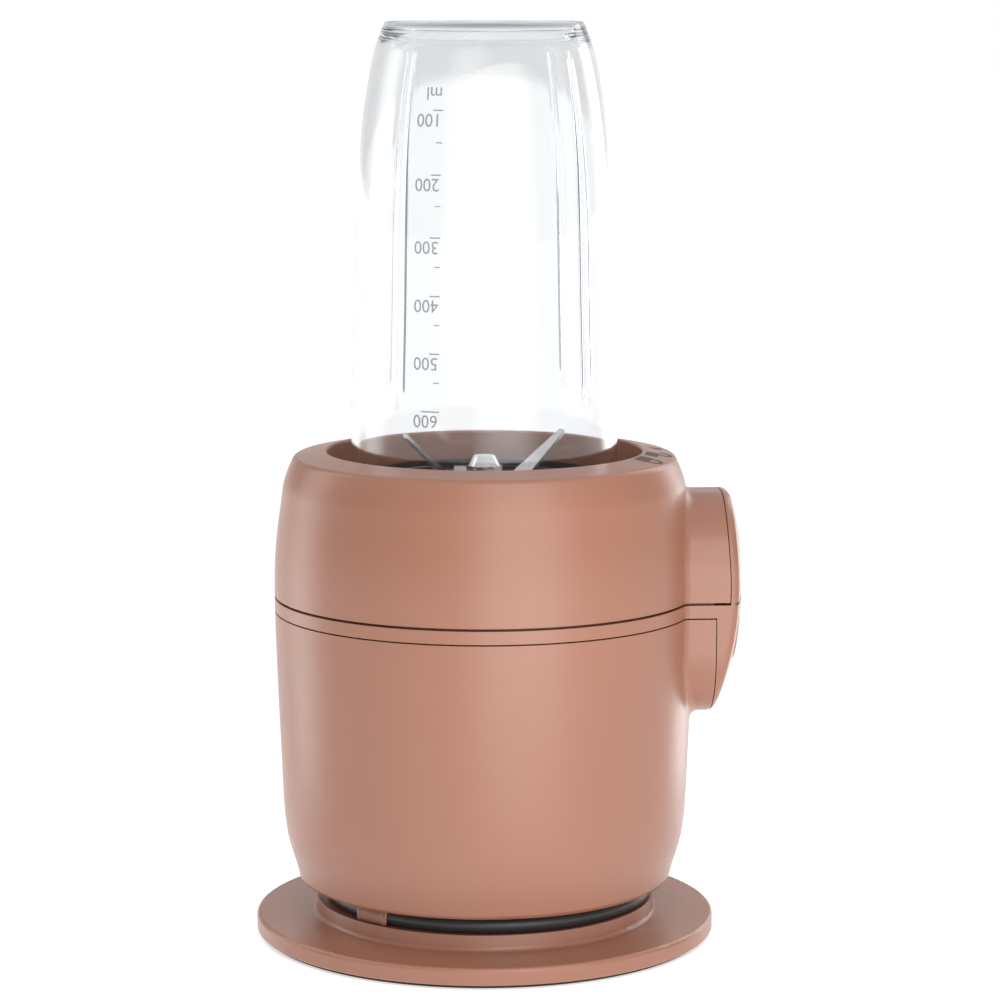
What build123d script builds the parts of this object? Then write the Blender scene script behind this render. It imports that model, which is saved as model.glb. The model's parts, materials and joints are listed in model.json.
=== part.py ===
"""Personal cup blender: foot disc, motor body with a side dial, collar and an upside-down clear cup.

Millimetres, +Z up. The origin is the centre of the foot's rest face, +X points to the dial.
"""

from build123d import *
import math
import os

os.makedirs("parts", exist_ok=True)

# ---- driving dimensions -------------------------------------------------------------------------
foot_thick = 1.2
foot_radius = 76.6
disc_radius = 78.5
disc_top = 7.0
disc_round = 1.3
pedestal_radius = 58.0
pedestal_top = 12.0
pedestal_fillet = 1.5
lip = 0.3
spool_radius = 32.8

wall = 2.5
underside = 19.0
body_bottom_radius = 63.9
body_bottom_z = 20.5
opening_radius = 53.5
opening_z = 166.5

boss_z = 114.2
boss_half_width = 28.0
boss_half_height = 37.7
boss_corner = 24.0
boss_end = 79.5
dome_radius = 105.0
dome_apex = 87.5
dome_z = 122.0
bezel_thick = 2.3
bezel_gap = 0.3
band_low = 112.2
band_high = 116.5
seam_low = 0.5
seam_high = 0.9
band_ring_x = 76.5

dial_z = 117.0
dial_radius = 23.8
dial_pocket = 24.5
dial_base = boss_end + 0.4
dial_apex = 87.3

cup_top = 310.3
cup_mouth = 145.0
cup_wall = 2.4
cup_end_radius = 33.1

well_floor = 121.0
well_floor_top = 123.5
well_wall_top = 140.0
well_radius = 53.3

shaft_radius = 4.0
lug_angles = (0, 120, 240)

cord_radius = 2.9
cord_z = pedestal_top + cord_radius
coil_start_radius = 36.4
coil_pitch = 6.3
coil_turns = 3
coil_angle = 5.0
clip_angle = 224.1
clip_half_length = 6.5


def side_points(inset):
    """The barrel's side from bottom to top, moved inward by inset."""
    side = ((67.0, 31.2), (69.3, 52.4), (70.9, 92.0), (71.5, 115.0), (70.8, 136.0), (68.7, 152.0))
    return [(r - inset, z) for r, z in side]


def sector(inner, outer, centre, span):
    """Flat ring sector about the origin, on the sketch plane of the caller."""
    start = centre - span / 2
    with BuildSketch() as result:
        with BuildLine():
            far = CenterArc((0, 0), outer, start, span)
            near = CenterArc((0, 0), inner, start, span)
            Line(far @ 0, near @ 0)
            Line(far @ 1, near @ 1)
        make_face()
    return result.sketch


def ring(inner, outer, low, high):
    """Plain ring about the Z axis."""
    with BuildPart() as result:
        with BuildSketch(Plane.XY.offset(low)):
            Circle(outer)
            Circle(inner, mode=Mode.SUBTRACT)
        extrude(amount=high - low)
    return result.part


def rod(radius, low, high, places):
    """Upright rods at the given (x, y) places, as one group."""
    with BuildPart() as result:
        with BuildSketch(Plane.XY.offset(low)):
            with Locations(*places):
                Circle(radius)
        extrude(amount=high - low)
    return result.part


def polar(radius, angles):
    """Points on a circle, by angle in degrees."""
    return [(radius * math.cos(math.radians(a)), radius * math.sin(math.radians(a))) for a in angles]


def screws(places, head_low, head_radius, head_high, shank_radius, shank_end):
    """Identical round-head screws, one solid each."""
    with BuildPart() as result:
        with BuildSketch(Plane.XY.offset(min(head_low, head_high))):
            with Locations(*places):
                Circle(head_radius)
        extrude(amount=abs(head_high - head_low))
        with BuildSketch(Plane.XY.offset(min(head_low, shank_end))):
            with Locations(*places):
                Circle(shank_radius)
        extrude(amount=abs(shank_end - head_low))
    return result.part


def save(part, name):
    part.label = name
    export_step(part, f"parts/{name}.step")


# ---- foot, disc and cord spool ------------------------------------------------------------------
with BuildPart() as foot_mat:
    with BuildSketch():
        Circle(foot_radius)
    extrude(amount=foot_thick)
    fillet(foot_mat.edges().group_by(Axis.Z)[0], 0.4)
save(foot_mat.part, "foot_mat")

base_screw_places = polar(28.4, (45, 135, 225, 315))
plate_low = 9.5

with BuildPart() as base_disc:
    with BuildSketch(Plane.XZ):
        with BuildLine():
            Polyline((0, foot_thick), (disc_radius - 0.5, foot_thick), (disc_radius, foot_thick + 0.5))
            Line((disc_radius, foot_thick + 0.5), (disc_radius, disc_top - disc_round))
            RadiusArc((disc_radius, disc_top - disc_round), (disc_radius - disc_round, disc_top), -disc_round)
            Line((disc_radius - disc_round, disc_top), (pedestal_radius + pedestal_fillet, disc_top))
            RadiusArc(
                (pedestal_radius + pedestal_fillet, disc_top),
                (pedestal_radius, disc_top + pedestal_fillet),
                pedestal_fillet,
            )
            Polyline(
                (pedestal_radius, disc_top + pedestal_fillet),
                (pedestal_radius - 0.4, pedestal_top + lip),
                (pedestal_radius - 1.2, pedestal_top + lip),
                (pedestal_radius - 1.6, pedestal_top),
                (0, pedestal_top),
                (0, foot_thick),
            )
        make_face()
    revolve(axis=Axis.Z)
    with BuildSketch(Plane.XY.offset(foot_thick)):
        Circle(pedestal_radius - 4)
    extrude(amount=plate_low - foot_thick, mode=Mode.SUBTRACT)
    with BuildSketch(Plane.XY.offset(foot_thick)):
        Circle(46)
        Circle(43.5, mode=Mode.SUBTRACT)
        Circle(18)
        Circle(15.5, mode=Mode.SUBTRACT)
    extrude(amount=plate_low - foot_thick)
    with BuildSketch(Plane.XY.offset(plate_low)):
        with Locations(*base_screw_places):
            Circle(2.2)
    extrude(amount=pedestal_top - plate_low, mode=Mode.SUBTRACT)
save(base_disc.part, "base_disc")

gland_y = coil_start_radius * math.sin(math.radians(coil_angle))
with BuildPart() as cord_spool:
    with BuildSketch(Plane.XY.offset(pedestal_top)):
        Circle(spool_radius)
        Circle(23, mode=Mode.SUBTRACT)
        with Locations(*base_screw_places):
            Circle(2.2, mode=Mode.SUBTRACT)
    extrude(amount=underside - pedestal_top)
    with Locations((29 + 6, gland_y - 3.5, pedestal_top)):
        Box(12, 7.2, 8, align=(Align.CENTER, Align.CENTER, Align.MIN), mode=Mode.SUBTRACT)
save(cord_spool.part, "cord_spool")
save(screws(base_screw_places, plate_low, 3.6, plate_low - 2.6, 2.0, 31), "base_screws")

def boss_outline(inset):
    """The boss's upright rounded outline, moved inward by inset, on the sketch plane of the caller."""
    with BuildSketch() as result:
        with Locations((0, boss_z)):
            RectangleRounded(
                2 * (boss_half_width - inset), 2 * (boss_half_height - inset), boss_corner - inset
            )
    return result.sketch


# ---- outer shell: barrel and boss, cut into lower housing, trim band and upper housing -----------
with BuildPart() as boss:
    with BuildSketch(Plane.YZ.offset(50)):
        add(boss_outline(0))
    extrude(amount=50)
    with Locations((dome_apex - dome_radius, 0, dome_z)):
        Sphere(dome_radius, mode=Mode.INTERSECT)
    fillet(boss.faces().sort_by(Axis.X)[-1].edges(), 2.5)

with BuildPart() as outer:
    with BuildSketch(Plane.XZ):
        with BuildLine():
            Line((0, opening_z), (0, underside))
            Line((0, underside), (body_bottom_radius - 1.6, underside))
            bottom = ThreePointArc(
                (body_bottom_radius - 1.6, underside),
                (body_bottom_radius - 0.6, underside + 0.45),
                (body_bottom_radius, body_bottom_z),
            )
            side = Spline(
                (body_bottom_radius, body_bottom_z),
                *side_points(0),
                (65.4, 162.9),
                tangents=[bottom % 1, (-0.45, 1)],
            )
            ThreePointArc(side @ 1, (64.7, 164.05), (63.6, 164.6))
            Line((63.6, 164.6), (opening_radius, opening_z))
            Line((opening_radius, opening_z), (0, opening_z))
        make_face()
    revolve(axis=Axis.Z)
    add(boss.part)
    crease = outer.edges().filter_by(
        lambda e: 60 < e.bounding_box().min.X and e.bounding_box().max.X < 74 and abs(e.center().Y) > 10
    )
    fillet(crease, 3.0)

with BuildPart() as boss_cavity:
    with BuildSketch(Plane.YZ.offset(59)):
        add(boss_outline(wall))
    extrude(amount=boss_end - wall - 59)
    with Locations((dome_apex - dome_radius, 0, dome_z)):
        Sphere(dome_radius - 4.5, mode=Mode.INTERSECT)

with BuildPart() as cavity:
    with BuildSketch(Plane.XZ):
        with BuildLine():
            Line((0, well_wall_top), (0, underside + wall))
            Line((0, underside + wall), (body_bottom_radius - wall, underside + wall))
            inner_side = Spline((body_bottom_radius - wall, underside + wall), *side_points(wall), (63.0, 161.9))
            Polyline(inner_side @ 1, (opening_radius + wall, 163.2), (opening_radius + wall, well_wall_top))
            Line((opening_radius + wall, well_wall_top), (0, well_wall_top))
        make_face()
    revolve(axis=Axis.Z)
    add(boss_cavity.part)
    with BuildSketch(Plane.YZ.offset(boss_end)):
        with Locations((0, dial_z)):
            Circle(dial_pocket)
    extrude(amount=10)
    with BuildSketch(Plane.YZ.offset(boss_end - wall)):
        with Locations((0, dial_z)):
            Circle(6.4)
    extrude(amount=2 * wall)
    with BuildSketch(Plane.XY.offset(well_wall_top)):
        Circle(opening_radius)
    extrude(amount=opening_z - well_wall_top + 1)

with BuildPart() as shell:
    add(outer.part)
    add(cavity.part, mode=Mode.SUBTRACT)

big = 200
with BuildPart() as upper_housing:
    add(shell.part)
    with Locations((0, 0, band_high + seam_high)):
        Box(big, big, big, align=(Align.CENTER, Align.CENTER, Align.MIN), mode=Mode.INTERSECT)
    with Locations((dome_apex - dome_radius, 0, dome_z)):
        Sphere(dome_radius - bezel_thick - bezel_gap, mode=Mode.INTERSECT)
    lip_edges = upper_housing.edges().filter_by(GeomType.CIRCLE).group_by(Axis.Z)[-1]
    fillet(lip_edges, 0.8)
save(upper_housing.part, "upper_housing")

# floor, posts for the motor, housing screws and the control board
motor_places = [(x, y) for x in (-34, 34) for y in (-20, 20)]
ear_places = polar(59, (45, 135, 225, 315))
post_top = 58.0
ear_low = 118.5
board_bottom = 60.0

with BuildPart() as lower_housing:
    add(shell.part)
    with Locations((0, 0, band_low - seam_low)):
        Box(big, big, big, align=(Align.CENTER, Align.CENTER, Align.MAX), mode=Mode.INTERSECT)
    with Locations((band_ring_x - 0.3, 0, 0)):
        Box(big, big, 2 * big, align=(Align.MIN, Align.CENTER, Align.CENTER), mode=Mode.SUBTRACT)
    floor_top = underside + wall
    add(rod(4.5, floor_top - 0.5, post_top, motor_places))
    add(rod(3.8, floor_top - 0.5, ear_low, ear_places))
    add(rod(4.4, floor_top - 0.5, 32, base_screw_places))
    add(rod(3.0, floor_top - 0.5, board_bottom, [(57, -16), (57, 16)]))
    add(rod(1.6, post_top - 14, post_top + 1, motor_places), mode=Mode.SUBTRACT)
    add(rod(1.6, ear_low - 14, ear_low + 1, ear_places), mode=Mode.SUBTRACT)
    add(rod(2.0, underside - 1, 31, base_screw_places), mode=Mode.SUBTRACT)
    with BuildSketch(Plane.XY.offset(underside - 1)):
        Circle(20)
        with PolarLocations(48, 12, start_angle=0):
            SlotOverall(14, 3.2)
    extrude(amount=wall + 2, mode=Mode.SUBTRACT)
save(lower_housing.part, "lower_housing")

with BuildPart() as bezel:
    add(shell.part)
    with Locations((band_ring_x, 0, boss_z)):
        Box(big, big, big, align=(Align.MIN, Align.CENTER, Align.CENTER), mode=Mode.INTERSECT)
    with Locations((dome_apex - dome_radius, 0, dome_z)):
        Sphere(dome_radius - bezel_thick, mode=Mode.SUBTRACT)

with BuildPart() as band_keep:
    with Locations((0, 0, (band_low + band_high) / 2)):
        Box(big, big, band_high - band_low)
    with Locations((band_ring_x, 0, band_high)):
        Box(big, big, big, align=(Align.MIN, Align.CENTER, Align.MAX))

tongue_outer = 68.5
with BuildPart() as tongue:
    add(ring(tongue_outer - 2, tongue_outer, band_low - 2.6, band_high + 2.8))
    add(ring(tongue_outer - 1, tongue_outer + 1, band_low + 0.3, band_high - 0.3))
    with Locations((58, 0, boss_z)):
        Box(30, 2 * boss_half_width, 30, align=(Align.MIN, Align.CENTER, Align.CENTER), mode=Mode.SUBTRACT)
    for side_sign in (-1, 1):
        with Locations((70.5, side_sign * 24.4, (band_low + band_high) / 2)):
            Box(11, 1.6, band_high - band_low + 5)
        with Locations((70.5, side_sign * 25.4, (band_low + band_high) / 2)):
            Box(11, 1.9, band_high - band_low - 0.6)

with BuildPart() as trim_band:
    add(shell.part)
    add(band_keep.part, mode=Mode.INTERSECT)
    add(bezel.part)
    add(tongue.part)
save(trim_band.part, "trim_band")

# ---- cup well: floor, wall, bayonet ledges and screw ears ----------------------------------------
plunger_x = -47.0
with BuildPart() as cup_well:
    with BuildSketch(Plane.XZ):
        with BuildLine():
            Polyline(
                (10, well_floor),
                (well_radius + 2.2, well_floor),
                (well_radius + 2.2, well_wall_top),
                (well_radius, well_wall_top),
                (well_radius, well_floor_top),
                (14, well_floor_top),
                (13, well_floor_top + 0.4),
                (10, well_floor_top + 0.4),
                close=True,
            )
        make_face()
    revolve(axis=Axis.Z)
    for lug in lug_angles:
        with BuildSketch(Plane.XY.offset(135.6)):
            add(sector(50.8, well_radius + 1, lug - 21, 22))
        extrude(amount=3)
    with BuildSketch(Plane.XY.offset(ear_low)):
        with PolarLocations(0, 4, start_angle=45):
            with Locations((57, 0)):
                SlotOverall(18, 11)
    extrude(amount=well_floor_top - 1.5 - ear_low)
    add(rod(1.8, ear_low - 1, 125, ear_places), mode=Mode.SUBTRACT)
    add(rod(2.8, well_floor - 1, 125, [(plunger_x, 0)]), mode=Mode.SUBTRACT)
    with BuildSketch(Plane.XY.offset(well_floor - 1)):
        with PolarLocations(30, 2, start_angle=90):
            SlotOverall(9, 4)
    extrude(amount=4, mode=Mode.SUBTRACT)
save(cup_well.part, "cup_well")
ear_top = well_floor_top - 1.5
save(screws(ear_places, ear_top, 3.0, ear_top + 2.4, 1.6, ear_low - 13), "housing_screws")

with BuildPart() as shaft_seal:
    with BuildSketch(Plane.XZ):
        with BuildLine():
            Polyline(
                (shaft_radius + 0.08, 122.0),
                (6.0, 120.6),
                (10.0, 120.6),
                (10.0, 123.9),
                (6.2, 124.2),
                (shaft_radius + 0.08, 123.4),
                close=True,
            )
        make_face()
    revolve(axis=Axis.Z)
save(shaft_seal.part, "shaft_seal")

# ---- motor ---------------------------------------------------------------------------------------
stack_low = 63.0
stack_high = 89.0
stack_x = 38.0
stack_y = 31.0
bore_radius = 20.2

with BuildPart() as stator_stack:
    with BuildSketch(Plane.XY.offset(stack_low)):
        RectangleRounded(2 * stack_x, 2 * stack_y, 6)
        Circle(bore_radius, mode=Mode.SUBTRACT)
        with Locations(*[(x, y) for x in (-20.5, 20.5) for y in (-23, 23)]):
            Rectangle(8.4, 8.4, mode=Mode.SUBTRACT)
        with Locations(*motor_places):
            Circle(1.8, mode=Mode.SUBTRACT)
    extrude(amount=stack_high - stack_low)
save(stator_stack.part, "stator_stack")

with BuildPart() as field_windings:
    for side_sign in (-1, 1):
        with Locations((0, side_sign * 23, (stack_low + stack_high) / 2)):
            Box(49, 8, 42)
            Box(33, 9, 31, mode=Mode.SUBTRACT)
    fillet(field_windings.edges().filter_by(Axis.Y), 2.0)
save(field_windings.part, "field_windings")

with BuildPart() as motor_mounts:
    with BuildSketch(Plane.XY.offset(post_top)):
        with Locations(*motor_places):
            Circle(5.5)
            Circle(1.8, mode=Mode.SUBTRACT)
    extrude(amount=stack_low - post_top)
save(motor_mounts.part, "motor_mounts")
save(screws(motor_places, stack_high, 3.2, stack_high + 2.6, 1.6, post_top - 12), "motor_screws")


def bracket(hub_low, hub_high, bar_low, bar_high, leg_low, leg_high):
    """U-shaped bearing bracket: hub, crossbar and two legs that stand on the stator stack."""
    with BuildPart() as result:
        with Locations((0, 0, bar_low)):
            Box(64, 15, bar_high - bar_low, align=(Align.CENTER, Align.CENTER, Align.MIN))
        with BuildSketch(Plane.XY.offset(hub_low)):
            Circle(10)
        extrude(amount=hub_high - hub_low)
        for leg_x in (-30.5, 30.5):
            with Locations((leg_x, 0, leg_low)):
                Box(3, 15, leg_high - leg_low, align=(Align.CENTER, Align.CENTER, Align.MIN))
        with BuildSketch(Plane.XY.offset(hub_low)):
            Circle(6.5)
        extrude(amount=hub_high - hub_low, mode=Mode.SUBTRACT)
    return result.part


save(bracket(36, 44, 36, 38.5, 36, stack_low), "lower_bracket")
save(bracket(98, 106, 102, 104.5, stack_high, 104.5), "upper_bracket")
save(ring(shaft_radius + 0.03, 6.5, 36, 44), "lower_bearing")
save(ring(shaft_radius + 0.03, 6.5, 98, 106), "upper_bearing")

brush_z = 50.0
with BuildPart() as brush_plate:
    with BuildSketch(Plane.XY.offset(44)):
        Circle(28.8)
        Circle(15, mode=Mode.SUBTRACT)
    extrude(amount=2)
save(brush_plate.part, "brush_plate")

with BuildPart() as brush_holders:
    for side_sign in (-1, 1):
        with Locations((0, side_sign * 22, brush_z)):
            Box(9, 13, 8)
            Box(6.2, 13, 5.2, mode=Mode.SUBTRACT)
save(brush_holders.part, "brush_holders")

with BuildPart() as brushes:
    for side_sign in (-1, 1):
        with Locations((0, side_sign * 18.4, brush_z)):
            Box(6, 12, 5)
    with BuildSketch(Plane.XY.offset(brush_z - 5)):
        Circle(12.6)
    extrude(amount=10, mode=Mode.SUBTRACT)
save(brushes.part, "brushes")

with BuildPart() as motor_shaft:
    with BuildSketch(Plane.XY.offset(24.5)):
        Circle(shaft_radius)
    extrude(amount=126.5 - 24.5)
    chamfer(motor_shaft.edges().group_by(Axis.Z)[0], 0.6)
save(motor_shaft.part, "motor_shaft")

with BuildPart() as armature_core:
    with BuildSketch(Plane.XY.offset(stack_low)):
        Circle(bore_radius - 0.6)
        Circle(shaft_radius, mode=Mode.SUBTRACT)
        with PolarLocations(bore_radius - 3.6, 12):
            SlotOverall(5.5, 3, mode=Mode.SUBTRACT)
        with PolarLocations(bore_radius - 1, 12):
            Rectangle(4, 1.4, mode=Mode.SUBTRACT)
    extrude(amount=stack_high - stack_low)
save(armature_core.part, "armature_core")

with BuildPart() as armature_windings:
    add(ring(shaft_radius, 16.0, stack_low - 4.5, stack_low))
    add(ring(shaft_radius, 16.0, stack_high, stack_high + 5.5))
    outer_edges = armature_windings.edges().filter_by(GeomType.CIRCLE).filter_by(lambda e: e.radius > 15)
    fillet(outer_edges, 1.5)
save(armature_windings.part, "armature_windings")

with BuildPart() as commutator:
    with BuildSketch(Plane.XY.offset(46.5)):
        Circle(12.4)
        Circle(shaft_radius, mode=Mode.SUBTRACT)
        with PolarLocations(12.4, 24):
            Rectangle(1.6, 0.6, mode=Mode.SUBTRACT)
    extrude(amount=58.5 - 46.5)
save(commutator.part, "commutator")

with BuildPart() as cooling_fan:
    with BuildSketch(Plane.XY.offset(25.2)):
        Circle(22.5)
        Circle(shaft_radius, mode=Mode.SUBTRACT)
    extrude(amount=1.4)
    with BuildSketch(Plane.XY.offset(26)):
        Circle(7)
        Circle(shaft_radius, mode=Mode.SUBTRACT)
    extrude(amount=8)
    with BuildSketch(Plane.XY.offset(26)):
        with PolarLocations(14.4, 9):
            Rectangle(15.6, 1.0, rotation=18)
    extrude(amount=7)
    add(rod(23.5, 24, 35, [(0, 0)]), mode=Mode.INTERSECT)
    add(rod(shaft_radius, 24, 35, [(0, 0)]), mode=Mode.SUBTRACT)
save(cooling_fan.part, "cooling_fan")

# ---- drive dogs: three on the motor shaft, three hanging from the blade shaft ---------------------
dog_span = 26.0
with BuildPart() as drive_coupling:
    with BuildSketch(Plane.XY.offset(124.7)):
        Circle(13)
        Circle(shaft_radius, mode=Mode.SUBTRACT)
    extrude(amount=1.4)
    with BuildSketch(Plane.XY.offset(126)):
        Circle(7)
    extrude(amount=7)
    for dog in lug_angles:
        with BuildSketch(Plane.XY.offset(126)):
            add(sector(6, 13, dog, dog_span))
        extrude(amount=7)
    add(rod(shaft_radius, 124, 126.5, [(0, 0)]), mode=Mode.SUBTRACT)
save(drive_coupling.part, "drive_coupling")

with BuildPart() as driven_coupling:
    with BuildSketch(Plane.XY.offset(134)):
        Circle(15)
    extrude(amount=2.4)
    with BuildSketch(Plane.XY.offset(127.3)):
        Circle(15)
        Circle(13.6, mode=Mode.SUBTRACT)
    extrude(amount=7)
    for dog in lug_angles:
        with BuildSketch(Plane.XY.offset(127.3)):
            add(sector(8, 14, dog + 60, dog_span))
        extrude(amount=7)
    add(rod(shaft_radius, 135, 138, [(0, 0)]), mode=Mode.SUBTRACT)
save(driven_coupling.part, "driven_coupling")

# ---- controls: dial, spindle, rotary switch, board ------------------------------------------------
dial_axis = Plane(origin=(0, 0, dial_z), x_dir=(0, 1, 0), z_dir=(1, 0, 0))
dial_wall = 2.2

dial_edge = dial_apex - dial_radius**2 / (2 * dome_radius)
with BuildPart() as speed_dial:
    with BuildSketch(Plane.XZ):
        with BuildLine():
            ThreePointArc(
                (dial_apex, dial_z),
                (dial_apex - dial_radius**2 / (8 * dome_radius), dial_z + dial_radius / 2),
                (dial_edge, dial_z + dial_radius - 0.8),
            )
            ThreePointArc(
                (dial_edge, dial_z + dial_radius - 0.8),
                (dial_edge - 0.25, dial_z + dial_radius - 0.22),
                (dial_edge - 0.8, dial_z + dial_radius),
            )
            Polyline(
                (dial_edge - 0.8, dial_z + dial_radius),
                (dial_base, dial_z + dial_radius),
                (dial_base, dial_z + dial_radius - dial_wall),
                (dial_edge - dial_wall, dial_z + dial_radius - dial_wall),
                (dial_apex - dial_wall, dial_z + 6),
                (dial_apex - dial_wall, dial_z),
                (dial_apex, dial_z),
            )
        make_face()
    revolve(axis=Axis((0, 0, dial_z), (1, 0, 0)))
    with BuildSketch(dial_axis.offset(boss_end - wall + 0.8)):
        Circle(5.8)
    extrude(amount=dial_apex - dial_wall - boss_end + wall)
    with BuildSketch(dial_axis.offset(boss_end - wall)):
        Circle(3.0)
    extrude(amount=6.5, mode=Mode.SUBTRACT)
save(speed_dial.part, "speed_dial")

with BuildPart() as dial_spindle:
    with BuildSketch(dial_axis.offset(64)):
        Circle(3.0)
    extrude(amount=boss_end - wall + 6.3 - 64)
save(dial_spindle.part, "dial_spindle")

with BuildPart() as speed_switch:
    with Locations((64.4, 0, dial_z)):
        Box(13, 24, 22)
    with BuildSketch(dial_axis.offset(70)):
        Circle(5.2)
    extrude(amount=5.9)
    with BuildSketch(dial_axis.offset(63.5)):
        Circle(3.05)
    extrude(amount=20, mode=Mode.SUBTRACT)
save(speed_switch.part, "speed_switch")

with BuildPart() as control_board:
    with Locations((57, 0, board_bottom)):
        Box(1.6, 42, 66, align=(Align.CENTER, Align.CENTER, Align.MIN))
save(control_board.part, "control_board")

with BuildPart() as board_parts:
    with Locations((51.7, -9, 74)):
        Box(9, 14, 20)
    with Locations((52.7, 11, 72)):
        Box(7, 12, 15)
    with BuildSketch(Plane.YZ.offset(47.2)):
        with Locations((2, 96), (-12, 96)):
            Circle(5)
    extrude(amount=9)
save(board_parts.part, "board_parts")

# ---- lock ring and interlock ----------------------------------------------------------------------
ring_low = 124.0
ring_top = 128.5
with BuildPart() as lock_ring:
    with BuildSketch(Plane.XY.offset(ring_low)):
        Circle(52.6)
        Circle(38, mode=Mode.SUBTRACT)
    extrude(amount=ring_top - ring_low)
    for lug in lug_angles:
        for side_sign in (-1, 1):
            with BuildSketch(Plane.XY.offset(ring_top - 0.5)):
                add(sector(50.4, 52.6, lug + side_sign * 11.4, 5))
            extrude(amount=5.8)
    with BuildSketch(Plane.YZ.offset(-51)):
        with BuildLine():
            Polyline(
                (4.5, ring_low - 1),
                (4.5, 126.9),
                (-2.5, 126.9),
                (-24, 123.95),
                (-24, ring_low - 1),
                close=True,
            )
        make_face()
    extrude(amount=10.5, mode=Mode.SUBTRACT)
save(lock_ring.part, "lock_ring")

with BuildPart() as interlock_plunger:
    with BuildSketch(Plane.XZ):
        with BuildLine():
            Polyline(
                (0, 110.4),
                (1.6, 110.4),
                (1.6, 116.5),
                (3.6, 116.5),
                (3.6, 118),
                (2.5, 118),
                (2.5, 124.4),
            )
            ThreePointArc((2.5, 124.4), (1.95, 125.65), (0.7, 126.2))
            Polyline((0.7, 126.2), (0, 126.2), (0, 110.4))
        make_face()
    revolve(axis=Axis.Z)
    plunger = interlock_plunger.part.moved(Location((plunger_x, 0, 0)))
save(plunger, "interlock_plunger")

spring_low = 108.8
spring_high = 116.5
with BuildPart() as coil_spring:
    with BuildLine():
        wire = Helix(pitch=1.8, height=spring_high - spring_low - 0.6, radius=2.6)
    with BuildSketch(Plane(origin=wire @ 0, z_dir=wire % 0)):
        Circle(0.3)
    sweep(is_frenet=True)
    spring = coil_spring.part.moved(Location((plunger_x, 0, spring_low + 0.3)))
save(spring, "plunger_spring")

with BuildPart() as interlock_bracket:
    with Locations((plunger_x, 0, 107.3)):
        Box(12, 26, 1.5, align=(Align.CENTER, Align.CENTER, Align.MIN))
    for side_sign in (-1, 1):
        with Locations((plunger_x, side_sign * 12, 107.3)):
            Box(12, 2, well_floor - 107.3, align=(Align.CENTER, Align.CENTER, Align.MIN))
    add(rod(1.9, 107, 109, [(plunger_x, 0)]), mode=Mode.SUBTRACT)
save(interlock_bracket.part, "interlock_bracket")

with BuildPart() as interlock_switch:
    with Locations((plunger_x, 0, 107.3)):
        Box(6.4, 20, 10, align=(Align.CENTER, Align.CENTER, Align.MAX))
    add(rod(1.4, 107, 108.1, [(plunger_x, 0)]))
save(interlock_switch.part, "interlock_switch")

# ---- blade unit ------------------------------------------------------------------------------------
holder_radius = 50.0
holder_floor = 142.5
with BuildPart() as blade_holder:
    with BuildSketch(Plane.XZ):
        with BuildLine():
            Polyline(
                (holder_radius, 129.0),
                (holder_radius, 157.0),
                (holder_radius - 2.8, 157.0),
                (holder_radius - 2.8, holder_floor),
                (14, holder_floor),
                (10.5, 144.5),
                (10.5, 151.5),
                (7.5, 151.5),
                (7.5, 138.0),
                (16, 138.0),
                (17, 139.6),
                (holder_radius - 3.2, 139.6),
                (holder_radius - 3.2, 129.0),
                close=True,
            )
        make_face()
    revolve(axis=Axis.Z)
    for lug in lug_angles:
        with BuildSketch(Plane.XY.offset(130.2)):
            add(sector(49, 52.5, lug, 16))
        extrude(amount=4)
    with BuildSketch(Plane.XY.offset(150)):
        with PolarLocations(holder_radius, 36):
            Rectangle(1.0, 3.4)
    extrude(amount=6, mode=Mode.SUBTRACT)
save(blade_holder.part, "blade_holder")
save(ring(43.0, 47.0, holder_floor, cup_mouth), "cup_gasket")
save(ring(shaft_radius + 0.03, 7.5, 138.0, 151.0), "blade_bush")

with BuildPart() as blade_shaft:
    with BuildSketch(Plane.XY.offset(135)):
        Circle(shaft_radius)
    extrude(amount=17.5)
    with BuildSketch(Plane.XY.offset(152.5)):
        Circle(3)
    extrude(amount=11)
    with BuildSketch(Plane.XY.offset(151.3)):
        Circle(7)
        Circle(shaft_radius - 0.2, mode=Mode.SUBTRACT)
    extrude(amount=1.2)
save(blade_shaft.part, "blade_shaft")


def bent_blade(low, flat, reach, rise, angle, width):
    """Two-armed blade: flat centre, both arms bent by rise over the outer run, tips ground to points."""
    thick = 1.5
    with BuildPart() as result:
        with BuildSketch(Plane.XZ):
            with BuildLine():
                Polyline(
                    (-reach, low + rise),
                    (-flat, low),
                    (flat, low),
                    (reach, low + rise),
                    (reach, low + rise + thick),
                    (flat, low + thick),
                    (-flat, low + thick),
                    (-reach, low + rise + thick),
                    close=True,
                )
            make_face()
        extrude(amount=width / 2, both=True)
        with BuildSketch(Plane.XY.offset(low - 20)):
            with BuildLine():
                Polyline(
                    (-reach, width / 2),
                    (-flat, width / 2),
                    (flat, width / 2),
                    (reach, -width / 5),
                    (reach, -width / 2),
                    (flat, -width / 2),
                    (-flat, -width / 2),
                    (-reach, width / 5),
                    close=True,
                )
            make_face()
        extrude(amount=60, mode=Mode.INTERSECT)
        with BuildSketch(Plane.XY.offset(low - 1)):
            Circle(3.0)
        extrude(amount=6, mode=Mode.SUBTRACT)
    return result.part.rotate(Axis.Z, angle)


save(bent_blade(154.0, 11, 27, 17, 20, 13), "upper_blade")
save(bent_blade(152.5, 12, 33, 2.5, 110, 13), "lower_blade")

with BuildPart() as blade_nut:
    with BuildSketch(Plane.XY.offset(155.5)):
        RegularPolygon(6, 6)
    extrude(amount=5.5)
    with BuildSketch(Plane.XY.offset(161)):
        Circle(5.4)
    extrude(amount=3.4, taper=28)
    with BuildSketch(Plane.XY.offset(155)):
        Circle(3)
    extrude(amount=8.5, mode=Mode.SUBTRACT)
save(blade_nut.part, "blade_nut")

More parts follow.
